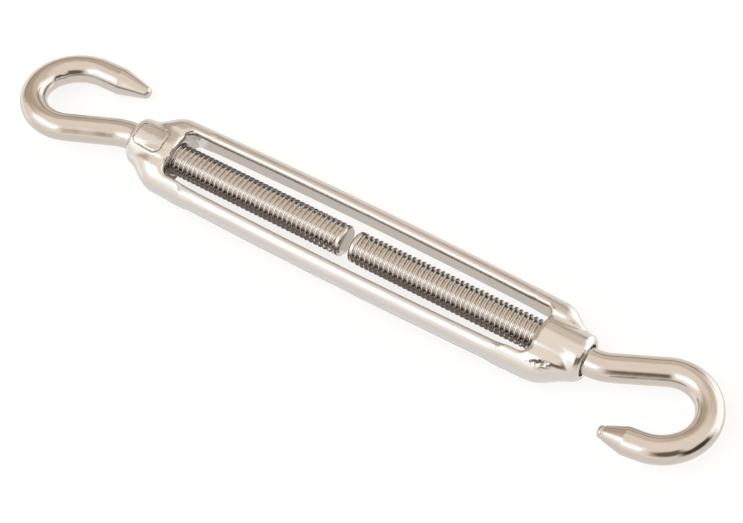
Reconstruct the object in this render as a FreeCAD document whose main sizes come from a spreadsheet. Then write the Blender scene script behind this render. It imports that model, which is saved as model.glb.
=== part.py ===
import FreeCAD, Part
import math
import os

import Sketcher
from FreeCAD import Placement, Rotation, Vector

# Hook-and-hook turnbuckle, thread size M6.
#
# The row frame: X runs along the thread axis with the right-hand threaded hook at +X, Z is square to
# the plane of the frame's two rails, and the origin is the middle of the frame on the thread axis.
# Each hook is drawn towards +X in the XY plane and then turned into its place by its Placement.

# alias: (millimetres or degrees, what it is)
SIZES = {
    "thread_radius": (3.0, "outer radius of the M6 thread"),
    "bore_radius": (3.06, "radius of the bore that the thread runs in"),
    "mouth_radius": (3.3, "outer radius of the chamfer at each mouth of the bore"),
    "wire_radius": (2.6, "radius of the plain hook wire"),
    "window_half": (38.6, "middle of the frame to the inner face of each boss"),
    "boss_length": (9.6, "length of each boss along the thread axis"),
    "boss_radius": (4.46, "radius of each boss"),
    "boss_rounding": (1.4, "rounding of each boss's outer rim"),
    "rail_height": (6.2, "height of the rails along Z"),
    "rail_rounding": (2.8, "rounding of the rails' outer edges"),
    "rail_outer_middle": (8.15, "thread axis to a rail's outer side, at the middle of the frame"),
    "rail_outer_end": (7.5, "the same, at the shoulder"),
    "rail_inner_middle": (5.25, "thread axis to a rail's inner wall, at the middle of the frame"),
    "rail_inner_end": (4.75, "the same, at the boss's inner face"),
    "shoulder_end": (43.8, "middle of the frame to the end of the shoulder"),
    "shoulder_radius": (3.8, "plan radius of the four shoulders"),
    "corner_radius": (1.3, "radius of the window's four corners"),
    "cut_margin": (0.5, "how far the bore's cutter runs past the bosses"),
    "right_rod_end": (0.2, "middle of the frame to the end of the right rod"),
    "left_rod_end": (1.7, "middle of the frame to the end of the left rod"),
    "tip_length": (1.2, "length of the plain chamfered end of each rod"),
    "tip_chamfer": (0.3, "chamfer on the end of each rod"),
    "tip_gap": (0.02, "clearance between a rod's tip and its thread"),
    "thread_end": (47.7, "middle of the frame to the last thread turn, inside the boss"),
    "neck_length": (0.6, "length of the taper from thread to plain wire"),
    "bend_start": (48.5, "middle of the frame to the start of the first bend"),
    "neck_radius": (9.75, "centre-line radius of the bend away from the axis"),
    "neck_turn": (25.2, "turn of that bend, degrees"),
    "shank_length": (9.4, "straight run between that bend and the bow"),
    "bow_radius": (7.55, "centre-line radius of the bow"),
    "bow_turn": (146.4, "turn of the bow, degrees"),
    "return_radius": (9.1, "centre-line radius of the last, wider part of the bow"),
    "right_return_turn": (51.6, "turn of the right hook's wider part, degrees"),
    "left_return_turn": (56.9, "turn of the left hook's wider part, degrees"),
    "right_tip_run": (2.9, "right hook: straight wire before the point"),
    "left_tip_run": (4.1, "left hook: straight wire before the point"),
    "right_point": (5.0, "right hook: length of the tapered point"),
    "left_point": (6.3, "left hook: length of the tapered point"),
    "point_radius": (1.0, "radius of the blunt end of the point"),
    "point_rounding": (0.6, "rounding of the blunt end"),
    "right_roll": (-8.85, "turn of the right hook about the thread axis, degrees"),
    "left_roll": (17.2, "turn of the left hook about the thread axis, degrees"),
}
SIZE = {alias: value for alias, (value, note) in SIZES.items()}
START, END, CENTRE = 1, 2, 3  # the points of a sketch edge
ORIGIN = (-1, 1)  # the sketch's origin
X_AXIS, Y_AXIS = -1, -2  # the sketch's axes


def total(*names):
    """A sum of named sizes, as (number, sheet formula). A leading minus takes a size away."""
    number = sum(-SIZE[name[1:]] if name.startswith("-") else SIZE[name] for name in names)
    terms = [f"-sizes.{name[1:]}" if name.startswith("-") else f"+sizes.{name}" for name in names]
    return number, "0" + "".join(terms)


def minus(length):
    number, formula = length
    return -number, f"-({formula})"


ZERO = (0, "0")


def make_sheet(doc):
    """The spreadsheet of driving dimensions: alias, value and note in each row."""
    sheet = doc.addObject("Spreadsheet::Sheet", "sizes")
    for row, (alias, (value, note)) in enumerate(SIZES.items(), start=1):
        sheet.set(f"A{row}", alias)
        sheet.set(f"B{row}", str(value))
        sheet.set(f"C{row}", note)
        sheet.setAlias(f"B{row}", alias)
    doc.recompute()


def make_body(doc, name):
    body = doc.addObject("PartDesign::Body", name)
    body.Label = name
    return body


def make_sketch(body, name, role="XY_Plane"):
    """A sketch on one of the body's own origin planes."""
    sketch = body.newObject("Sketcher::SketchObject", name)
    plane = next(item for item in body.Origin.OriginFeatures if item.Role == role)
    sketch.AttachmentSupport = [(plane, "")]
    sketch.MapMode = "FlatFace"
    return sketch


def drive(sketch, kind, where, length):
    """A driving dimension of the sketch, bound to the sheet."""
    number, formula = length
    index = sketch.addConstraint(Sketcher.Constraint(kind, *where, number))
    sketch.setExpression(f"Constraints[{index}]", formula)


def pin_start(sketch, edge, x, y):
    """Fix where an edge starts."""
    for kind, length, axis in (("DistanceX", x, Y_AXIS), ("DistanceY", y, X_AXIS)):
        if length is ZERO:
            sketch.addConstraint(Sketcher.Constraint("PointOnObject", edge, START, axis))
        else:
            drive(sketch, kind, (*ORIGIN, edge, START), length)


def join(sketch, edges):
    """Join edges end to end in a closed loop."""
    for edge, following in zip(edges, edges[1:] + edges[:1]):
        sketch.addConstraint(Sketcher.Constraint("Coincident", edge, END, following, START))


def draw_polygon(sketch, corners):
    """A closed outline with straight edges. Each corner is a pair of lengths."""
    points = [Vector(x[0], y[0], 0) for x, y in corners]
    sides = [Part.LineSegment(a, b) for a, b in zip(points, points[1:] + points[:1])]
    edges = [sketch.addGeometry(side, False) for side in sides]
    join(sketch, edges)
    for edge, (x, y) in zip(edges, corners):
        pin_start(sketch, edge, x, y)


def draw_bowed_slot(sketch, half_length, middle, end):
    """A long outline, closed by straight ends, whose two long sides bow outwards as arcs."""
    corners = [
        (half_length, end),
        (minus(half_length), end),
        (minus(half_length), minus(end)),
        (half_length, minus(end)),
    ]
    far_right, far_left, near_left, near_right = (Vector(x[0], y[0], 0) for x, y in corners)
    crown = Vector(0, middle[0], 0)
    sides = [
        Part.Arc(far_right, crown, far_left),
        Part.LineSegment(far_left, near_left),
        Part.Arc(near_left, -crown, near_right),
        Part.LineSegment(near_right, far_right),
    ]
    edges = [sketch.addGeometry(side, False) for side in sides]
    join(sketch, edges)
    for edge, (x, y) in zip(edges, corners):
        pin_start(sketch, edge, x, y)
    rise = f"({middle[1]}-({end[1]}))"
    radius = f"(({half_length[1]})^2+{rise}^2)/(2*{rise})"
    sagitta = middle[0] - end[0]
    number = (half_length[0] ** 2 + sagitta**2) / (2 * sagitta)
    for arc in edges[::2]:
        drive(sketch, "Radius", (arc,), (number, radius))


def revolve(body, kind, name, sketch, axis="H_Axis"):
    """Turn a sketch a full circle about one of its own lines."""
    feature = body.newObject(f"PartDesign::{kind}", name)
    feature.Profile = sketch
    feature.ReferenceAxis = (sketch, [axis])
    feature.Angle = 360
    return feature


def round_edges(doc, body, name, radius, chosen):
    """Round every edge of the body that the test picks."""
    doc.recompute()
    base = body.Tip
    picked = [f"Edge{i}" for i, edge in enumerate(base.Shape.Edges, start=1) if chosen(edge)]
    fillet = body.newObject("PartDesign::Fillet", name)
    fillet.Base = (base, picked)
    fillet.setExpression("Radius", f"sizes.{radius}")
    doc.recompute()
    return fillet


def is_upright(edge):
    """A straight edge along Z."""
    box = edge.BoundBox
    return box.XLength < 1e-6 and box.YLength < 1e-6


def make_frame(doc):
    """The cast frame: two bosses joined by two rails, with the window between them."""
    body = make_body(doc, "frame")
    outline = make_sketch(body, "rail_outline")
    outer_middle, outer_end = total("rail_outer_middle"), total("rail_outer_end")
    draw_bowed_slot(outline, total("shoulder_end"), outer_middle, outer_end)
    slab = body.newObject("PartDesign::Pad", "rail_slab")
    slab.Profile = outline
    slab.SideType = "Symmetric"
    slab.setExpression("Length", "sizes.rail_height")
    round_edges(doc, body, "shoulders", "shoulder_radius", is_upright)
    half_height = SIZE["rail_height"] / 2
    round_edges(
        doc, body, "rail_rounds", "rail_rounding",
        lambda edge: edge.BoundBox.ZLength < 1e-6 and abs(abs(edge.BoundBox.ZMax) - half_height) < 1e-6,
    )

    bosses = make_sketch(body, "boss_profile")
    inner, outer = total("window_half", "-boss_rounding"), total("window_half", "boss_length")
    radius = total("boss_radius")
    draw_polygon(bosses, [(inner, ZERO), (outer, ZERO), (outer, radius), (inner, radius)])
    draw_polygon(
        bosses,
        [(minus(outer), ZERO), (minus(inner), ZERO), (minus(inner), radius), (minus(outer), radius)],
    )
    revolve(body, "Revolution", "bosses", bosses)
    round_edges(
        doc, body, "boss_rounds", "boss_rounding",
        lambda edge: edge.BoundBox.XLength < 1e-6 and abs(abs(edge.BoundBox.XMax) - outer[0]) < 1e-6,
    )

    window = make_sketch(body, "window_outline")
    inner_middle, inner_end = total("rail_inner_middle"), total("rail_inner_end")
    draw_bowed_slot(window, total("window_half"), inner_middle, inner_end)
    opening = body.newObject("PartDesign::Pocket", "window")
    opening.Profile = window
    opening.Type = "ThroughAll"
    opening.SideType = "Symmetric"
    round_edges(
        doc, body, "window_corners", "corner_radius",
        lambda edge: is_upright(edge)
        and abs(abs(edge.BoundBox.XMax) - SIZE["window_half"]) < 1e-6,
    )

    bore = make_sketch(body, "bore_profile")
    beyond = total("window_half", "boss_length", "cut_margin")
    throat = total("window_half", "boss_length", "bore_radius", "-mouth_radius")
    wide, narrow = total("mouth_radius", "cut_margin"), total("bore_radius")
    draw_polygon(
        bore,
        [
            (minus(beyond), ZERO),
            (beyond, ZERO),
            (beyond, wide),
            (throat, narrow),
            (minus(throat), narrow),
            (minus(beyond), wide),
        ],
    )
    revolve(body, "Groove", "bore", bore)
    return body


def make_rod_tip(doc, side):
    """The plain chamfered end of a threaded rod, which rides with the rod's travel."""
    body = make_body(doc, f"{side}_rod_tip")
    profile = make_sketch(body, "tip_profile")
    end, shoulder = total(f"{side}_rod_end"), total(f"{side}_rod_end", "tip_chamfer")
    back = total(f"{side}_rod_end", "tip_length", "-tip_gap")
    face, full = total("thread_radius", "-tip_chamfer"), total("thread_radius")
    draw_polygon(profile, [(end, ZERO), (back, ZERO), (back, full), (shoulder, full), (end, face)])
    revolve(body, "Revolution", "tip", profile)
    return body


class Pen:
    """Draws tangent arcs and lines one after another from a start on the X axis, heading along +X."""

    def __init__(self, sketch, start):
        self.sketch = sketch
        self.start = start
        self.place = Vector(start[0], 0, 0)
        self.heading = 0.0
        self.tail = None  # the edge and point where the last piece ends

    def attach(self, edge, point):
        """Make a new piece's near end tangent to the last piece, or put it at the start."""
        if self.tail:
            self.sketch.addConstraint(Sketcher.Constraint("Tangent", *self.tail, edge, point))
            return
        drive(self.sketch, "DistanceX", (*ORIGIN, edge, point), self.start)
        self.sketch.addConstraint(Sketcher.Constraint("PointOnObject", edge, point, X_AXIS))
        self.sketch.addConstraint(Sketcher.Constraint("Vertical", edge, point, edge, CENTRE))

    def line(self, length):
        direction = Rotation(Vector(0, 0, 1), self.heading).multVec(Vector(1, 0, 0))
        end = self.place + direction * length[0]
        edge = self.sketch.addGeometry(Part.LineSegment(self.place, end), False)
        self.attach(edge, START)
        drive(self.sketch, "Distance", (edge,), length)
        self.place, self.tail = end, (edge, END)

    def arc(self, radius, turn, left):
        """An arc that turns the path by an angle in degrees, to the left or to the right."""
        sign = 1 if left else -1
        away = Rotation(Vector(0, 0, 1), self.heading).multVec(Vector(0, sign, 0))
        centre = self.place + away * radius[0]
        circle = Part.Circle(centre, Vector(0, 0, 1), radius[0])
        before = self.heading - sign * 90
        after = before + sign * turn[0]
        low, high = sorted((before, after))
        edge = self.sketch.addGeometry(
            Part.ArcOfCircle(circle, math.radians(low), math.radians(high)), False
        )
        near, far = (START, END) if left else (END, START)
        self.attach(edge, near)
        drive(self.sketch, "Radius", (edge,), radius)
        number, formula = turn
        drive(self.sketch, "Angle", (edge,), (math.radians(number), f"({formula}) * 1 deg"))
        self.place = centre + Rotation(Vector(0, 0, 1), after).multVec(Vector(radius[0], 0, 0))
        self.heading += sign * turn[0]
        self.tail = (edge, far)


def draw_circle(sketch, radius):
    """A circle on the sketch's origin."""
    edge = sketch.addGeometry(Part.Circle(Vector(), Vector(0, 0, 1), radius[0]), False)
    sketch.addConstraint(Sketcher.Constraint("Coincident", edge, CENTRE, *ORIGIN))
    drive(sketch, "Radius", (edge,), radius)


def make_hook(doc, side):
    """A hook and its threaded rod, one bent piece of wire with a rolled thread."""
    body = make_body(doc, f"{side}_hook")
    rod = make_sketch(body, "rod_profile")
    start, bend = total(f"{side}_rod_end", "tip_length"), total("bend_start")
    last_turn, neck = total("thread_end"), total("thread_end", "neck_length")
    full, plain = total("thread_radius"), total("wire_radius")
    draw_polygon(
        rod,
        [(start, ZERO), (bend, ZERO), (bend, plain), (neck, plain), (last_turn, full), (start, full)],
    )
    revolve(body, "Revolution", "rod", rod)

    path = make_sketch(body, "wire_path")
    pen = Pen(path, bend)
    pen.arc(total("neck_radius"), total("neck_turn"), left=True)
    pen.line(total("shank_length"))
    pen.arc(total("bow_radius"), total("bow_turn"), left=False)
    pen.arc(total("return_radius"), total(f"{side}_return_turn"), left=False)
    pen.line(total(f"{side}_tip_run"))
    section = make_sketch(body, "wire_section", "YZ_Plane")
    section.setExpression("AttachmentOffset.Base.z", "sizes.bend_start")
    draw_circle(section, plain)
    wire = body.newObject("PartDesign::AdditivePipe", "wire")
    wire.Profile = section
    wire.Spine = (path, [])
    doc.recompute()

    last_edge = f"Edge{len(path.Shape.Edges)}"
    ends = []
    for name, radius in (("point_root", plain), ("point_end", total("point_radius"))):
        circle = body.newObject("Sketcher::SketchObject", name)
        circle.AttachmentSupport = [(path, last_edge)]
        circle.MapMode = "NormalToEdge"
        circle.MapPathParameter = 1
        draw_circle(circle, radius)
        ends.append(circle)
    # a sketch square to an edge faces back along it
    ends[1].setExpression("AttachmentOffset.Base.z", f"-sizes.{side}_point")
    point = body.newObject("PartDesign::AdditiveLoft", "point")
    point.Profile, point.Sections = ends[0], [ends[1]]
    round_edges(doc, body, "point_round", "point_rounding", is_point_rim)
    return body


def is_point_rim(edge):
    """The circle round the blunt end of a hook's point."""
    return hasattr(edge.Curve, "Radius") and abs(edge.Curve.Radius - SIZE["point_radius"]) < 1e-6


def place_side(body, side, roll):
    """Turn a piece about the thread axis by its roll, and to the -X end if it is a left one."""
    turn = Rotation(Vector(1, 0, 0), roll)
    if side == "left":
        turn = Rotation(Vector(0, 0, 1), 180).multiply(turn)
    body.Placement = Placement(Vector(), turn)


def check(doc, pieces):
    """Stop if any object failed to compute or any piece isn't one valid solid."""
    for item in doc.Objects:
        if {"Invalid", "Error"} & set(item.State):
            raise RuntimeError(f"{item.Label} failed: {item.State}")
    for piece in pieces:
        shape = piece.Shape
        if shape.isNull() or not shape.isValid() or len(shape.Solids) != 1:
            raise RuntimeError(f"{piece.Label} isn't one valid solid")


def main():
    doc = FreeCAD.newDocument("turnbuckle")
    make_sheet(doc)
    pieces = [make_frame(doc)]
    for side in ("right", "left"):
        hook, tip = make_hook(doc, side), make_rod_tip(doc, side)
        for piece in (hook, tip):
            place_side(piece, side, SIZE[f"{side}_roll"])
            pieces.append(piece)
    doc.recompute()
    check(doc, pieces)
    os.makedirs("parts", exist_ok=True)
    for piece in pieces:
        piece.Shape.exportStep(f"parts/{piece.Label}.step")
        print(piece.Label, round(piece.Shape.Volume, 1), piece.Shape.BoundBox)


main()
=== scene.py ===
import math

import bpy
import numpy as np
from mathutils import Matrix, Vector


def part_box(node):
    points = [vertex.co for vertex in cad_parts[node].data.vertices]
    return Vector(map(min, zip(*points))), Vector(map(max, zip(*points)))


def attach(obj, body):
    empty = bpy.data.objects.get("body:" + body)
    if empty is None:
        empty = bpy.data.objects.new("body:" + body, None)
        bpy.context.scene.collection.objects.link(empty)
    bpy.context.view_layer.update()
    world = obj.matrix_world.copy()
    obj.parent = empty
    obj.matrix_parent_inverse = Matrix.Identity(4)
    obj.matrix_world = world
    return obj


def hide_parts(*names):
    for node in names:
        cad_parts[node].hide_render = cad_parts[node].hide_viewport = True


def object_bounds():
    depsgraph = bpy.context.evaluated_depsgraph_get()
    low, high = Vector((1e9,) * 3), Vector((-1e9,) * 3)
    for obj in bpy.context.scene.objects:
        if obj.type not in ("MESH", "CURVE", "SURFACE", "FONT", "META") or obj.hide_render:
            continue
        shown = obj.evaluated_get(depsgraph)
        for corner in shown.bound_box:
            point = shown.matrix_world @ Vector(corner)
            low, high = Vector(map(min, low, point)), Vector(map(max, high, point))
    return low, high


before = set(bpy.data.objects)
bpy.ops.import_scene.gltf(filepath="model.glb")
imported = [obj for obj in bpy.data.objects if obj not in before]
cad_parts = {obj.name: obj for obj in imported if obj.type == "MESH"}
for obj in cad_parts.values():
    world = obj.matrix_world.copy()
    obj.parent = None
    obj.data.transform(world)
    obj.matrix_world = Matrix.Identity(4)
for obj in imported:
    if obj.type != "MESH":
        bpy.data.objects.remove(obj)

# The looks of a hook-and-hook turnbuckle, thread size M6, in polished stainless steel. Shapes are
# worked out in millimetres in the row frame, X along the thread axis and Z square to the rails, and
# become metres when their mesh is made.

MM = 0.001
CAD_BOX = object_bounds()
SEED = 7


def node_box(node):
    """The lowest and highest corner of a CAD node, in millimetres."""
    return [np.array(corner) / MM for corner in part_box(node)]


# ---- sizes of the cast frame ----

BOSS_END, RAIL_OUTER_MIDDLE, BOSS_RADIUS = node_box("frame")[1]
BOSS_LENGTH = 9.6
WINDOW_HALF = BOSS_END - BOSS_LENGTH
BOSS_ROUNDING = 1.4
BOSS_OVERLAP = 2.0  # how far a boss runs on past its end of the window, before the window is cut
RAIL_HALF_HEIGHT = 3.1
RAIL_ROUNDING = 2.7
RAIL_OUTER_END = 7.5
RAIL_INNER_MIDDLE = 5.25
RAIL_INNER_END = 4.75
SHOULDER_END = 43.8
SHOULDER_RADIUS = 3.8
CORNER_RADIUS = 1.3
WINDOW_EDGE = 1.3  # softness of the window's rim
BORE_RADIUS = 3.06
BORE_EDGE = 0.12
MOUTH_CHAMFER = 0.24

# How far the blend between the rails and a boss reaches, and how that changes from place to place.
BLEND_REACH = 1.7
BLEND_MORE_ON_RAILS = 1.9
BLEND_MORE_ON_NEAR_SIDE = 1.7
BLEND_LESS_ON_FAR_RIGHT = 1.2

# The slight unevenness of a hand-polished casting: wavelengths and their weights.
WAVES = ((13, 1.0), (8, 0.8), (5, 0.5), (3.2, 0.3))
WAVE_DEPTH = 0.03

# The plain panel on top of the left boss. Across is measured round the boss from its top.
PANEL_CENTRE, PANEL_HALF_LENGTH = -44.0, 3.0
PANEL_ACROSS, PANEL_HALF_WIDTH = 0.25, 2.55
PANEL_CORNER = 1.3
PANEL_DEPTH = 0.088
PANEL_STIPPLE = 0.0112
GROOVE_DEPTH, GROOVE_WIDTH = 0.144, 0.16

# The small cast pits beside the right boss, on the near rail's shoulder, in a slanting group.
PIT_MIDDLE = np.array([41.35, -5.4, 3.0])
PIT_COUNT = 22
PIT_SLANT = 0.38
PITS_ALONG, PITS_ACROSS = 1.6, 0.35
PIT_DEPTHS = (0.084, 0.18)

# How dark the shade painted into the casting's hollows is, from 0 to 1, and how far the painted shade
# round the pits spreads.
PIT_AND_GROOVE_SHADE, BORE_SHADE = 0.66, 0.6
SHADE_ALONG, SHADE_ACROSS = 1.7, 0.75

# The grid that the casting is sampled on: its fine spacing, and the coarser stretches along the
# rails, each with the place where it ends and its spacing.
FINE = 0.17
RAIL_GRID = ((35.5, 0.7), (36.5, 0.35))

# ---- sizes of the hooks ----

THREAD_PITCH = 1.0
THREAD_RADIUS = 3.0
WIRE_RADIUS = 2.6
THREAD_END = 47.7
THREAD_FADE = 0.45  # how far from its end the thread starts to run out
ROUND_STEPS = 72  # points round a wire

# The hooks' centre lines, from the thread's end: runs, and bends with a radius and a turn in degrees,
# to the left if it is positive.
NECK_LENGTH = 0.6
BEND_START = 48.5
NECK_BEND = (9.75, 25.2)
SHANK_LENGTH = 9.4
BOW = (7.55, -146.4)
RETURN_RADIUS = 9.1
WIRE_STEP = 0.3

# What differs between the two: the end that a hook is at, its turn about the thread axis and its
# return bend's turn in degrees, the run before its point, its point's length, and the depth of the
# nick round the point.
HOOKS = {
    "right": {
        "side": 1,
        "roll": -8.85,
        "return_turn": -51.6,
        "tip_run": 2.9,
        "point": 5.0,
        "nick": 0.16,
    },
    "left": {
        "side": -1,
        "roll": 17.2,
        "return_turn": -56.9,
        "tip_run": 4.1,
        "point": 6.3,
        "nick": 0.0,
    },
}
POINT_RADIUS = 1.0
POINT_ROUNDING = 0.6
NICK_FROM_END, NICK_WIDTH = 1.0, 0.18
TIP_RINGS = (0.95, 0.8, 0.6, 0.42, 0.26, 0.13, 0.05, 0.0)  # shares of the rounding, from the end


# ---- meshes ----


def make_piece(name, points, faces, body, node, material, hollow_shade=None, normals=None):
    """A smooth piece of the object from points in millimetres. It stands for a CAD node.

    Hollow shade is how much shade is painted on the metal at each point, from 0 to 1. Without it, the
    piece has no painted shade.
    """
    mesh = bpy.data.meshes.new(name)
    mesh.from_pydata((np.asarray(points) * MM).tolist(), [], faces)
    painted_shade = mesh.attributes.new("hollow_shade", "FLOAT", "POINT")
    if hollow_shade is not None:
        painted_shade.data.foreach_set("value", hollow_shade.astype(np.float32))
    mesh.validate()
    mesh.shade_smooth()
    if normals is not None:
        mesh.normals_split_custom_set_from_vertices(normals.tolist())
    mesh.materials.append(material)
    piece = bpy.data.objects.new(name, mesh)
    bpy.context.scene.collection.objects.link(piece)
    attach(piece, body)
    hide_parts(node)


# ---- the cast frame, as a distance field ----


def rounded_meet(a, b, radius):
    """The field of what two fields share, with the edge between them rounded."""
    u, v = a + radius, b + radius
    return np.minimum(np.maximum(u, v), 0) + np.hypot(np.maximum(u, 0), np.maximum(v, 0)) - radius


def soft_max(a, b, reach):
    """The larger of two fields, eased over within a reach of where they are equal."""
    near = np.maximum(reach - np.abs(a - b), 0)
    return np.maximum(a, b) + near**2 / (4 * reach)


def soft_min(a, b, reach):
    """The smaller of two fields, eased in the same way."""
    return -soft_max(-a, -b, reach)


def ease(value, low, high):
    """A smooth step from 0 at low to 1 at high."""
    t = np.clip((value - low) / (high - low), 0, 1)
    return t * t * (3 - 2 * t)


def bowed_outline(x, y, half_length, middle, end, corner):
    """The field of a long outline whose half width grows from its ends to its middle."""
    half_width = end + (middle - end) * (1 - (x / half_length) ** 2)
    return rounded_meet(np.abs(x) - half_length, np.abs(y) - half_width, corner)


def blend_reach(x, y):
    """How far the blend between the rails and a boss reaches."""
    on_rails = ease(np.abs(y), 2.8, 4.8)
    near_side = ease(-y, 0.5, 2.5)
    far_right = ease(x, 20, 35) * ease(y, 0.5, 2.5) * (1 - ease(np.abs(y), 3.6, 4.8))
    more = BLEND_MORE_ON_RAILS * on_rails + BLEND_MORE_ON_NEAR_SIDE * near_side
    return BLEND_REACH + more - BLEND_LESS_ON_FAR_RIGHT * far_right


def bores(x, radius):
    """The field of the bosses' bores, which flare at their mouths."""
    past_mouth = np.maximum(np.abs(x) - BOSS_END, WINDOW_HALF - np.abs(x)) + MOUTH_CHAMFER
    flare = np.minimum(past_mouth, 2 * MOUTH_CHAMFER)
    return np.minimum(radius - BORE_RADIUS, (radius - BORE_RADIUS - flare) / math.sqrt(2))


def waves(x, y, z):
    """The casting's unevenness, from 0 to 1."""
    random = np.random.default_rng(SEED)
    total = 0
    for wavelength, weight in WAVES:
        direction = random.normal(size=3) * (0.6, 1.0, 1.0)
        direction /= np.linalg.norm(direction)
        phase = random.uniform(0, 2 * math.pi)
        along = direction[0] * x + direction[1] * y + direction[2] * z
        total = total + weight * np.sin(2 * math.pi * along / wavelength + phase)
    return 0.5 + 0.5 * total / sum(weight for _, weight in WAVES)


def panel_outline(x, y, z):
    """The distance from the panel's outline, negative inside."""
    across = BOSS_RADIUS * np.arctan2(y, np.maximum(z, 0.1))
    return rounded_meet(
        np.abs(x - PANEL_CENTRE) - PANEL_HALF_LENGTH,
        np.abs(across - PANEL_ACROSS) - PANEL_HALF_WIDTH,
        PANEL_CORNER,
    )


def panel(x, y, z):
    """How far the sunken panel and the groove round it lie below the boss's surface."""
    outline = panel_outline(x, y, z)
    groove = np.exp(-((outline / GROOVE_WIDTH) ** 2))
    stipple = np.sin(8.1 * x + 3.0 * np.sin(2.3 * y)) * np.sin(7.3 * y + 2.0 * np.sin(3.1 * x))
    inside = ease(-outline, -0.1, 0.2)
    return inside * (PANEL_DEPTH + PANEL_STIPPLE * stipple) + GROOVE_DEPTH * groove


def sound_casting(x, y, z):
    """The frame's field, negative inside, without its pits."""
    radius = np.hypot(y, z)
    plan = bowed_outline(x, y, SHOULDER_END, RAIL_OUTER_MIDDLE, RAIL_OUTER_END, SHOULDER_RADIUS)
    rails = rounded_meet(plan, np.abs(z) - RAIL_HALF_HEIGHT, RAIL_ROUNDING)
    boss = rounded_meet(radius - BOSS_RADIUS, np.abs(x) - BOSS_END, BOSS_ROUNDING)
    boss = np.maximum(boss, WINDOW_HALF - BOSS_OVERLAP - np.abs(x))
    field = soft_min(rails, boss, blend_reach(x, y))
    window = bowed_outline(x, y, WINDOW_HALF, RAIL_INNER_MIDDLE, RAIL_INNER_END, CORNER_RADIUS)
    field = soft_max(field, -window, WINDOW_EDGE)
    field = soft_max(field, -bores(x, radius), BORE_EDGE)
    outside_bore = ease(radius, BORE_RADIUS + 0.5, BORE_RADIUS + 1.0)
    on_boss = ease(radius, 3.8, 4.1)
    return field + WAVE_DEPTH * waves(x, y, z) * outside_bore + panel(x, y, z) * on_boss


def slopes(field, points):
    """The field's gradient at points, by central differences."""
    step = 0.02
    out = np.empty_like(points)
    for axis in range(3):
        shift = np.zeros(3)
        shift[axis] = step
        ahead, behind = points + shift, points - shift
        out[:, axis] = (field(*ahead.T) - field(*behind.T)) / (2 * step)
    return out


def settle(field, points, rounds=3):
    """Move points on to the field's zero surface."""
    furthest, least_steep = 0.3, 0.1
    for _ in range(rounds):
        slope = slopes(field, points)
        steepness = np.maximum((slope**2).sum(axis=1), least_steep)
        move = np.clip(field(*points.T) / steepness, -furthest, furthest)
        points = points - move[:, None] * slope
    return points


def make_pits():
    """The middle and the depth of each cast pit."""
    random = np.random.default_rng(SEED)
    along = random.uniform(-PITS_ALONG, PITS_ALONG, PIT_COUNT)
    across = random.uniform(-PITS_ACROSS, PITS_ACROSS, PIT_COUNT)
    starts = PIT_MIDDLE + np.column_stack([along, PIT_SLANT * along + across, 0 * along])
    depths = random.uniform(*PIT_DEPTHS, PIT_COUNT)
    return list(zip(settle(sound_casting, starts, 6), depths))


PITS = make_pits()


def casting(x, y, z):
    """The frame's field with its pits, each as wide as it is deep."""
    field = sound_casting(x, y, z)
    for middle, depth in PITS:
        away = (x - middle[0]) ** 2 + (y - middle[1]) ** 2 + (z - middle[2]) ** 2
        field = field + depth * np.exp(-away / (2 * depth**2))
    return field


def casting_hollow_shade(points):
    """Where shade is painted on the casting: in its pits, in the panel's groove and in the bores."""
    x, y, z = points.T
    along, across = x - PIT_MIDDLE[0], y - PIT_MIDDLE[1]
    slant = across - PIT_SLANT * along
    pitted = np.exp(-((along / SHADE_ALONG) ** 4) - (slant / SHADE_ACROSS) ** 2) * (z > 1.5)
    grooved = np.exp(-((panel_outline(x, y, z) / 0.17) ** 2)) * (z > 2)
    bored = (np.hypot(y, z) < BORE_RADIUS + 0.05) * (np.abs(x) > WINDOW_HALF)
    return np.maximum(PIT_AND_GROOVE_SHADE * np.maximum(pitted, grooved), BORE_SHADE * bored)


def spaced(*stretches):
    """Grid lines, symmetrical about 0. Each stretch is where it ends and its spacing."""
    lines, place = [0.0], 0.0
    for far, spacing in stretches:
        count = max(1, round((far - place) / spacing))
        lines += list(np.linspace(place, far, count + 1)[1:])
        place = far
    lines = np.array(lines)
    return np.concatenate([-lines[:0:-1], lines])


def surface_net(field, lines):
    """Points and quads on the zero surface of a field sampled on grid lines.

    Each cell that the surface crosses gets a point, at the mean of the crossings on its edges.
    """
    cells = np.array(field.shape) - 1
    sums, counts = np.zeros((*cells, 3)), np.zeros(cells)
    crossings = []
    for axis in range(3):
        low, high = [slice(None)] * 3, [slice(None)] * 3
        low[axis], high[axis] = slice(None, -1), slice(1, None)
        a, b = field[tuple(low)], field[tuple(high)]
        crossed = (a < 0) != (b < 0)
        where = np.argwhere(crossed)
        share = a[crossed] / (a[crossed] - b[crossed])
        points = np.column_stack([lines[k][where[:, k]] for k in range(3)])
        points[:, axis] += share * (lines[axis][where[:, axis] + 1] - lines[axis][where[:, axis]])
        u, v = (axis + 1) % 3, (axis + 2) % 3
        ring = []
        for du, dv in ((-1, -1), (0, -1), (0, 0), (-1, 0)):
            cell = where.copy()
            cell[:, u] += du
            cell[:, v] += dv
            np.add.at(sums, tuple(cell.T), points)
            np.add.at(counts, tuple(cell.T), 1)
            ring.append(cell)
        crossings.append((ring, a[crossed] < 0))
    used = counts > 0
    index = np.full(used.shape, -1)
    index[used] = np.arange(used.sum())
    points = sums[used] / counts[used][:, None]
    faces = []
    for ring, outward in crossings:
        quads = np.column_stack([index[tuple(cell.T)] for cell in ring])
        faces.append(np.where(outward[:, None], quads, quads[:, ::-1]))
    return points, np.concatenate(faces)


def relax(field, points, faces, rounds=2):
    """Even out the points along the surface."""
    for _ in range(rounds):
        total, count = np.zeros_like(points), np.zeros(len(points))
        for a, b in zip(faces.T, np.roll(faces, -1, axis=1).T):
            for here, there in ((a, b), (b, a)):
                np.add.at(total, here, points[there])
                np.add.at(count, here, 1)
        points = settle(field, 0.5 * points + 0.5 * total / count[:, None], 2)
    return points


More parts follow.
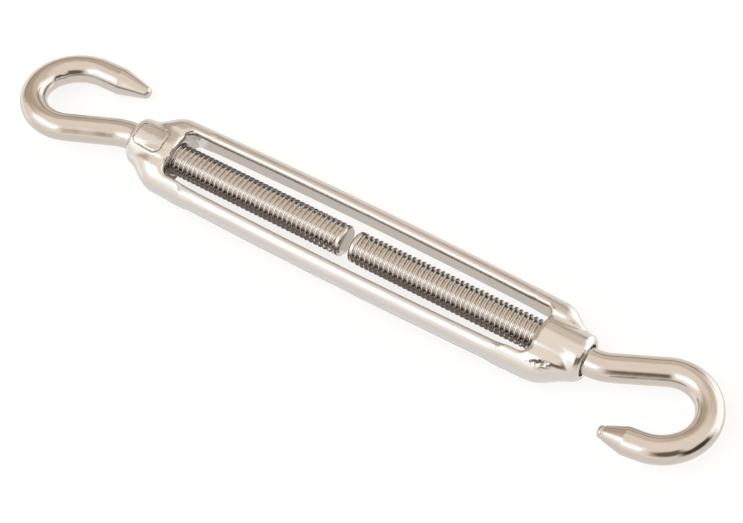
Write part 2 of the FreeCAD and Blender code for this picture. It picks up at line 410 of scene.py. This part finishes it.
def make_frame(material):
    margin = 3 * FINE
    lines = [
        spaced(*RAIL_GRID, (BOSS_END + margin, FINE)),
        spaced((RAIL_OUTER_MIDDLE + margin, FINE)),
        spaced((BOSS_RADIUS + margin, FINE)),
    ]
    field = casting(lines[0][:, None, None], lines[1][None, :, None], lines[2][None, None, :])
    points, faces = surface_net(field, lines)
    points = relax(casting, settle(casting, points), faces)
    normals = slopes(casting, points)
    normals /= np.linalg.norm(normals, axis=1)[:, None]
    # Painted shade in the pits, the panel's groove and the bores, kept as a mesh attribute.
    hollow_shade = casting_hollow_shade(points)
    make_piece(
        "frame_casting", points, faces.tolist(), "frame", "frame", material, hollow_shade, normals
    )


# ---- the hooks ----

# They are worked out lying flat along +X, and place_hook puts each at its own end.


def node_span(node, side):
    """Where a node starts and ends, measured out from the frame's middle towards its own end."""
    low, high = node_box(node)
    return (low[0], high[0]) if side > 0 else (-high[0], -low[0])


def place_hook(hook, points):
    """From a hook's own frame to the row frame."""
    turn = Matrix.Rotation(math.radians(hook["roll"]), 3, "X")
    if hook["side"] < 0:
        turn = Matrix.Rotation(math.pi, 3, "Z") @ turn
    return np.asarray(points) @ np.array(turn).T


def thread_profile():
    """One turn of an M6 thread: how far along the pitch, from a crest's middle, and the radius there."""
    half = [
        (0.0, THREAD_RADIUS),
        (0.11, 2.998),
        (0.155, 2.955),
        (0.34, 2.47),
        (0.385, 2.41),
        (0.5, 2.39),
    ]
    other = [(1 - at, radius) for at, radius in half[-2:0:-1]]
    return half + other


def thread_columns(start, hand):
    """Places and radii along the rod for each step round it, in rows that follow the helix."""
    at, radii = np.array(thread_profile() + [(1.0, THREAD_RADIUS)]).T
    turns = np.arange(-2, math.ceil((THREAD_END - start) / THREAD_PITCH) + 2)
    rows = start + (turns[:, None] + at[:-1]).ravel() * THREAD_PITCH
    columns = []
    for step in range(ROUND_STEPS + 1):
        shift = hand * THREAD_PITCH * step / ROUND_STEPS
        places = np.clip(rows + shift, start, THREAD_END)
        phase = ((places - shift - start) / THREAD_PITCH) % 1.0
        height = np.interp(phase, at, radii) - WIRE_RADIUS
        radius = WIRE_RADIUS + height * ease(THREAD_END - places, 0, THREAD_FADE)
        columns.append((places, radius))
    return columns


def ring_points(place, heading, radius):
    """Points round the wire, square to its heading at a place on its centre line."""
    ring = []
    for column in range(ROUND_STEPS):
        angle = 2 * math.pi * column / ROUND_STEPS
        side, up = radius * math.cos(angle), radius * math.sin(angle)
        ring.append((place[0] - side * math.sin(heading), place[1] + side * math.cos(heading), up))
    return ring


def band(ring, next_ring):
    """The faces between two rings of points."""
    faces = []
    for column in range(ROUND_STEPS):
        following = (column + 1) % ROUND_STEPS
        faces.append([ring[column], ring[following], next_ring[following], next_ring[column]])
    return faces


def threaded_rod(start, hand):
    """The points and faces of a rod's thread, closed at its start, and the ring at its end."""
    columns = thread_columns(start, hand)
    last_row = len(columns[0][0]) - 1
    per_turn = len(thread_profile())
    points, numbers, faces = [], {}, []

    def vertex(row, column):
        """The number of a point. Those cut off at the same end of the thread share one."""
        if column == ROUND_STEPS:
            row, column = row + hand * per_turn, 0
        row = min(max(row, 0), last_row)
        places, radii = columns[column]
        key = (row, column)
        if places[row] <= start:
            key = ("start", column)
        elif places[row] >= THREAD_END:
            key = ("end", column)
        if key not in numbers:
            angle = 2 * math.pi * column / ROUND_STEPS
            numbers[key] = len(points)
            points.append((places[row], radii[row] * math.cos(angle), radii[row] * math.sin(angle)))
        return numbers[key]

    for column in range(ROUND_STEPS):
        for row in range(last_row):
            corners = [
                vertex(row, column),
                vertex(row, column + 1),
                vertex(row + 1, column + 1),
                vertex(row + 1, column),
            ]
            kept = [corner for i, corner in enumerate(corners) if corner != corners[i - 1]]
            if len(kept) > 2:
                faces.append(kept)
    first = [vertex(0, column) for column in range(ROUND_STEPS)]
    last = [vertex(last_row, column) for column in range(ROUND_STEPS)]
    faces.append(first[::-1])
    return points, faces, last


def bend(radius, degrees):
    """The length and turn of a bend."""
    angle = math.radians(degrees)
    return radius * abs(angle), angle


def wire_path(hook):
    """The place, heading and length along a hook's centre line, from just past its thread."""
    stretches = [
        (BEND_START - THREAD_END - NECK_LENGTH, 0.0, WIRE_STEP),
        (*bend(*NECK_BEND), WIRE_STEP),
        (SHANK_LENGTH, 0.0, WIRE_STEP),
        (*bend(*BOW), WIRE_STEP),
        (*bend(RETURN_RADIUS, hook["return_turn"]), WIRE_STEP),
        (hook["tip_run"], 0.0, WIRE_STEP),
        (hook["point"], 0.0, WIRE_STEP / 3),
    ]
    place, heading, length = np.array([THREAD_END + NECK_LENGTH, 0.0]), 0.0, 0.0
    rows = [(place, heading, length)]
    for distance, turn, step in stretches:
        count = max(1, round(distance / step))
        piece, angle = distance / count, turn / count
        chord = piece * np.sinc(angle / (2 * math.pi))
        for _ in range(count):
            middle = heading + angle / 2
            place = place + chord * np.array([math.cos(middle), math.sin(middle)])
            heading += angle
            length += piece
            rows.append((place, heading, length))
    return rows


def wire_radius(hook, along):
    """The radius of the wire, a distance past where its point starts."""
    if along <= 0:
        return WIRE_RADIUS
    left = hook["point"] - along
    radius = WIRE_RADIUS + (POINT_RADIUS - WIRE_RADIUS) * along / hook["point"]
    radius -= hook["nick"] * math.exp(-(((left - NICK_FROM_END) / NICK_WIDTH) ** 2))
    if left < POINT_ROUNDING:
        height = math.sqrt(max(POINT_ROUNDING**2 - (POINT_ROUNDING - left) ** 2, 0))
        radius -= POINT_ROUNDING - height
    return radius


def wire_rings(hook):
    """The rings of points along a hook's wire, close together round the end of its point."""
    rows = wire_path(hook)
    end, heading, total = rows[-1]
    rows = [row for row in rows if row[2] <= total - POINT_ROUNDING]
    for share in TIP_RINGS:
        back = POINT_ROUNDING * share
        place = end - back * np.array([math.cos(heading), math.sin(heading)])
        rows.append((place, heading, total - back))
    point_start = total - hook["point"]
    return [
        ring_points(place, heading, wire_radius(hook, length - point_start))
        for place, heading, length in rows
    ]


def make_hook(name, material):
    """A hook with its threaded rod."""
    hook, node = HOOKS[name], f"{name}_hook"
    start, _ = node_span(node, hook["side"])
    points, faces, ring = threaded_rod(start, hook["side"])
    for new_points in wire_rings(hook):
        new_ring = list(range(len(points), len(points) + ROUND_STEPS))
        points += new_points
        faces += band(ring, new_ring)
        ring = new_ring
    faces.append(ring)
    points = place_hook(hook, points)
    make_piece(f"{name}_hook_wire", points, faces, node, node, material)


def rod_end_profile(near, far):
    """The outline of a rod's plain end, from axis to axis: places along it and radii."""
    return [
        (near + 0.01, 0.0),
        (near + 0.01, 1.2),
        (near, 2.6),
        (near + 0.02, 2.7),
        (near + 0.06, 2.75),
        (near + 0.24, 2.92),
        (near + 0.3, 2.95),
        (near + 0.4, 2.97),
        (near + 0.84, 2.97),
        (near + 0.9, 2.94),
        (near + 1.0, 2.8),
        (far - 0.02, 2.62),
        (far, 2.6),
        (far, 0.0),
    ]


def make_rod_end(name, material):
    """The plain chamfered end of a rod, turned from its outline."""
    hook, node = HOOKS[name], f"{name}_rod_tip"
    (start, _), *outline, (end, _) = rod_end_profile(*node_span(node, hook["side"]))
    points, rings = [(start, 0.0, 0.0)], []
    for x, radius in outline:
        rings.append(list(range(len(points), len(points) + ROUND_STEPS)))
        points += ring_points((x, 0.0), 0.0, radius)
    points.append((end, 0.0, 0.0))
    faces = []
    for ring, next_ring in zip(rings, rings[1:]):
        faces += band(ring, next_ring)
    for column in range(ROUND_STEPS):
        following = (column + 1) % ROUND_STEPS
        faces.append([0, rings[0][following], rings[0][column]])
        faces.append([rings[-1][column], rings[-1][following], len(points) - 1])
    points = place_hook(hook, points)
    make_piece(f"{name}_rod_end", points, faces, f"{name}_travel", node, material)


# ---- materials ----

# The painted shade in the casting's hollows: its dark colour, and its roughness.
SHADE_COLOUR = (0.075, 0.055, 0.04)
SHADE_ROUGHNESS = 0.6


def add_node(tree, kind, inputs=None, **settings):
    """Add a node and give its outputs. Its inputs are constants or other nodes' outputs."""
    node = tree.nodes.new("ShaderNode" + kind)
    for setting, value in settings.items():
        setattr(node, setting, value)
    for key, value in (inputs or {}).items():
        if isinstance(value, bpy.types.NodeSocket):
            tree.links.new(value, node.inputs[key])
        else:
            node.inputs[key].default_value = value
    return node.outputs


def add_mix(tree, kind, factor, first, second):
    """Go from a first colour or number to a second as the factor goes from 0 to 1."""
    inputs = {"Factor": factor, "A": first, "B": second}
    return add_node(tree, "Mix", inputs, data_type=kind)["Result"]


def opaque(colour):
    return (*colour, 1)


def new_material(name):
    """A material, and its empty node tree."""
    material = bpy.data.materials.new(name)
    material.use_nodes = True
    material.node_tree.nodes.clear()
    return material, material.node_tree


def make_steel(name, tint, roughness, grain, polish_depth, cloud_depth, peel_depth):
    """Polished stainless steel with polishing lines, uneven gloss, shallow dents, and shade painted
    where the hollow_shade attribute says.

    Grain is about how often the polish varies in a metre along each axis. Depths are in metres.
    """
    material, tree = new_material(name)
    place = add_node(tree, "TexCoord")["Object"]

    def noise(scale, detail, stretch=(1, 1, 1)):
        stretched = add_node(tree, "Mapping", {"Vector": place, "Scale": stretch})["Vector"]
        inputs = {"Vector": stretched, "Scale": scale, "Detail": detail}
        return add_node(tree, "TexNoise", inputs)["Fac"]

    def spread(value, start, stop, low, high):
        """Go from low to high as a value goes from start to stop."""
        inputs = {
            "Value": value,
            "From Min": start,
            "From Max": stop,
            "To Min": low,
            "To Max": high,
        }
        return add_node(tree, "MapRange", inputs)["Result"]

    # The scales are to a metre: clouds of about 8 mm, orange peel of 0.7 mm and specks of 0.4 mm.
    polish = noise(1.0, 5.0, grain)
    clouds = noise(130.0, 2.0)
    peel = noise(1400.0, 2.0)
    specks = noise(2300.0, 3.0)

    # This attribute paints shade: it darkens the casting's pits, panel groove and bores.
    hollow_shade = add_node(tree, "Attribute", attribute_name="hollow_shade")["Fac"]
    over = add_node(tree, "Math", {0: hollow_shade, 1: specks}, operation="SUBTRACT")["Value"]
    painted_shade = spread(over, -0.05, 0.25, 0.0, 1.0)

    dark = opaque(0.93 * channel for channel in tint)
    light = opaque(min(1.05 * channel, 1) for channel in tint)
    clean = add_mix(tree, "RGBA", polish, dark, light)
    gloss = spread(clouds, 0.3, 0.7, *roughness)
    normal = add_node(tree, "Bump", {"Height": polish, "Distance": polish_depth})["Normal"]
    for height, depth in ((clouds, cloud_depth), (peel, peel_depth)):
        inputs = {"Height": height, "Distance": depth, "Normal": normal}
        normal = add_node(tree, "Bump", inputs)["Normal"]

    inputs = {
        "Metallic": 1.0,
        "Base Color": add_mix(tree, "RGBA", painted_shade, clean, opaque(SHADE_COLOUR)),
        "Roughness": add_mix(tree, "FLOAT", painted_shade, gloss, SHADE_ROUGHNESS),
        "Normal": normal,
    }
    add_node(tree, "OutputMaterial", {"Surface": add_node(tree, "BsdfPrincipled", inputs)["BSDF"]})
    return material


# ---- floor and cards ----

FLOOR_HALF = 1.5
FLOOR_COLOUR = (0.22, 0.22, 0.22)
FLOOR_GLOW, FLOOR_GLOW_STRENGTH = (1, 0.998, 0.995), 0.78
# The cards under the window are painted shade: they stand for the floor in the object's shadow, as the
# metal reflects it.
CARD_DROP = 0.2  # how far the cards lie below the floor
CARD_GAP = (-2.4, 1.6)  # the opening between the dark cards, under the rods' ends
SHADOW_CARD_COLOUR = (0.22, 0.18, 0.15)
SHADED_FLOOR_COLOUR = (0.72, 0.66, 0.60)


def make_sheet(name, left, right, near, far, z, material):
    """A flat rectangle of the stage, in metres."""
    mesh = bpy.data.meshes.new(name)
    corners = [(left, near, z), (right, near, z), (right, far, z), (left, far, z)]
    mesh.from_pydata(corners, [], [(0, 1, 2, 3)])
    mesh.materials.append(material)
    sheet = bpy.data.objects.new(name, mesh)
    bpy.context.scene.collection.objects.link(sheet)
    return sheet


def make_floor():
    """A wide pale floor that the object lies on. The metal doesn't reflect it."""
    material, tree = new_material("floor_white")
    inputs = {
        "Base Color": opaque(FLOOR_COLOUR),
        "Roughness": 0.9,
        "Emission Color": opaque(FLOOR_GLOW),
        "Emission Strength": FLOOR_GLOW_STRENGTH,
    }
    add_node(tree, "OutputMaterial", {"Surface": add_node(tree, "BsdfPrincipled", inputs)["BSDF"]})
    half = FLOOR_HALF
    floor = make_sheet("floor", -half, half, -half, half, CAD_BOX[0].z, material)
    floor.visible_glossy = False


def make_card(name, left, right, near, far, colour):
    """A card just below the floor, under the window, which only reflections show: painted shade of the
    floor under the object.
    """
    material, tree = new_material(name)
    card_shader = add_node(tree, "BsdfDiffuse", {"Color": opaque(colour)})
    add_node(tree, "OutputMaterial", {"Surface": card_shader["BSDF"]})
    z = CAD_BOX[0].z - CARD_DROP * MM
    card = make_sheet(name, left * MM, right * MM, near * MM, far * MM, z, material)
    card.visible_camera = False
    card.visible_diffuse = False
    card.visible_shadow = False


# ---- what the polished metal reflects ----

# Soft-edged cards round the studio: azimuth and elevation of a card's middle, half its width and
# height and the softness of its edges, all in degrees, and its colour.
CARDS = [
    ("pale_table", (0, -50), (180, 50), 5, (1.0, 0.93, 0.86)),
    ("light_table_edge", (180, -14), (40, 12), 16, (1.28, 1.2, 1.14)),
    ("table_near", (-145, -64), (28, 22), 16, (0.93, 0.89, 0.86)),
    ("table_end", (40, -62), (28, 22), 16, (1.0, 0.90, 0.82)),
    ("table_far", (140, -60), (28, 24), 16, (0.95, 0.88, 0.80)),
    ("tan_wall", (134, 24), (44, 24), 22, (0.66, 0.52, 0.40)),
    ("warm_wall", (90, 32), (32, 14), 22, (0.92, 0.77, 0.62)),
    ("key_softbox", (-122, 45), (34, 24), 22, (1.36, 1.33, 1.29)),
    ("key_core", (-128, 47), (34, 8), 17, (2.8, 2.75, 2.67)),
    ("side_window", (57, -4), (33, 30), 20, (1.68, 1.65, 1.58)),
    ("far_edge", (124, 12), (46, 2.2), 3, (0.30, 0.24, 0.19)),
    ("dark_corner", (-47, 33), (25, 19), 20, (0.20, 0.155, 0.12)),
    ("dark_doorway", (-8, 6), (24, 17), 14, (0.10, 0.07, 0.045)),
]
ROOM_COLOUR = (1.18, 1.02, 0.86)
BACKDROP_COLOUR = (0.96, 0.955, 0.95)
WANDER, WANDER_SCALE = 0.22, 3.0  # how far the cards' edges wander, and how often


def make_world():
    """The studio: cards of light and shade in the reflections, and a plain pale backdrop."""
    world = bpy.data.worlds.new("studio")
    bpy.context.scene.world = world
    world.use_nodes = True
    tree = world.node_tree

    def number_maths(operation, *values):
        return add_node(tree, "Math", dict(enumerate(values)), operation=operation)["Value"]

    def vector_maths(operation, *values):
        return add_node(tree, "VectorMath", dict(enumerate(values)), operation=operation)["Vector"]

    def within(angle, half, softness):
        """1 where an angle's size is under a limit, easing to 0 past it."""
        inputs = {
            "Value": number_maths("ABSOLUTE", angle),
            "From Min": math.radians(half + softness / 2),
            "From Max": math.radians(half - softness / 2),
        }
        return add_node(tree, "MapRange", inputs, interpolation_type="SMOOTHSTEP")["Result"]

    straight = add_node(tree, "TexCoord")["Generated"]
    noise = add_node(tree, "TexNoise", {"Vector": straight, "Scale": WANDER_SCALE})["Color"]
    wandered = vector_maths("MULTIPLY_ADD", noise, (WANDER,) * 3, straight)
    centred = vector_maths("SUBTRACT", wandered, (WANDER / 2,) * 3)
    direction = vector_maths("NORMALIZE", centred)
    height = add_node(tree, "SeparateXYZ", {"Vector": direction})["Z"]
    elevation = number_maths("ARCSINE", height)
    colour = opaque(ROOM_COLOUR)
    for name, (azimuth, middle), (half_width, half_height), softness, shade in CARDS:
        inputs = {"Vector": direction, "Angle": math.radians(-azimuth)}
        turned = add_node(tree, "VectorRotate", inputs, label=name, rotation_type="Z_AXIS")
        parts = add_node(tree, "SeparateXYZ", {"Vector": turned["Vector"]})
        across = number_maths("ARCTAN2", parts["Y"], parts["X"])
        above = number_maths("SUBTRACT", elevation, math.radians(middle))
        sides, ends = within(across, half_width, softness), within(above, half_height, softness)
        mask = number_maths("MULTIPLY", sides, ends)
        colour = add_mix(tree, "RGBA", mask, colour, opaque(shade))
    seen = add_node(tree, "LightPath")["Is Camera Ray"]
    shown = add_mix(tree, "RGBA", seen, colour, opaque(BACKDROP_COLOUR))
    tree.links.new(shown, tree.nodes["Background"].inputs["Color"])


# ---- lamp and camera ----

LAMP_PLACE = (-0.15, -0.25, 0.7)
LAMP_SIZE, LAMP_POWER = 0.5, 1.2
CAMERA_PLACE = Vector((164.303, -135.611, 406.069)) * MM
CAMERA_RIGHT = Vector((0.83963, 0.51942, -0.15881))
CAMERA_UP = Vector((-0.41517, 0.80227, 0.42895))
LENS = 124.03


def make_lamp():
    """A wide soft lamp overhead, aimed at the object."""
    data = bpy.data.lights.new("overhead", "AREA")
    data.shape = "DISK"
    data.size = LAMP_SIZE
    data.energy = LAMP_POWER
    lamp = bpy.data.objects.new("overhead", data)
    lamp.location = LAMP_PLACE
    lamp.rotation_euler = (-lamp.location).to_track_quat("-Z", "Y").to_euler()
    lamp.visible_glossy = False
    bpy.context.scene.collection.objects.link(lamp)


def make_camera():
    """A camera at the photograph's viewing angle."""
    data = bpy.data.cameras.new("camera")
    data.lens = LENS
    data.clip_start, data.clip_end = 0.01, 10
    camera = bpy.data.objects.new("camera", data)
    right = CAMERA_RIGHT.normalized()
    back = right.cross(CAMERA_UP).normalized()
    turn = Matrix((right, back.cross(right), back)).transposed()
    camera.matrix_world = Matrix.Translation(CAMERA_PLACE) @ turn.to_4x4()
    bpy.context.scene.collection.objects.link(camera)
    bpy.context.scene.camera = camera


# ---- the whole scene ----

cast_steel = make_steel(
    "polished_cast_steel",
    tint=(0.665, 0.665, 0.67),
    roughness=(0.15, 0.23),
    grain=(60, 900, 900),
    polish_depth=0.0001,
    cloud_depth=0.00004,
    peel_depth=0.000004,
)
hook_steel = make_steel(
    "polished_wire_steel",
    tint=(0.61, 0.59, 0.575),
    roughness=(0.07, 0.13),
    grain=(100, 700, 700),
    polish_depth=0.00002,
    cloud_depth=0.00016,
    peel_depth=0.0,
)
make_frame(cast_steel)
for hook_name in HOOKS:
    make_hook(hook_name, hook_steel)
    make_rod_end(hook_name, hook_steel)
make_floor()
# Painted shadow: dark cards under the near half of the window, and a grey card of painted shade under
# the far half.
make_card("left_shadow_card", -WINDOW_HALF, CARD_GAP[0], -RAIL_OUTER_MIDDLE, 0, SHADOW_CARD_COLOUR)
make_card("right_shadow_card", CARD_GAP[1], WINDOW_HALF, -RAIL_OUTER_MIDDLE, 0, SHADOW_CARD_COLOUR)
make_card("shaded_floor_card", -WINDOW_HALF, WINDOW_HALF, 0, RAIL_INNER_MIDDLE, SHADED_FLOOR_COLOUR)
make_world()
make_lamp()
make_camera()
bpy.context.scene.view_settings.view_transform = "Standard"
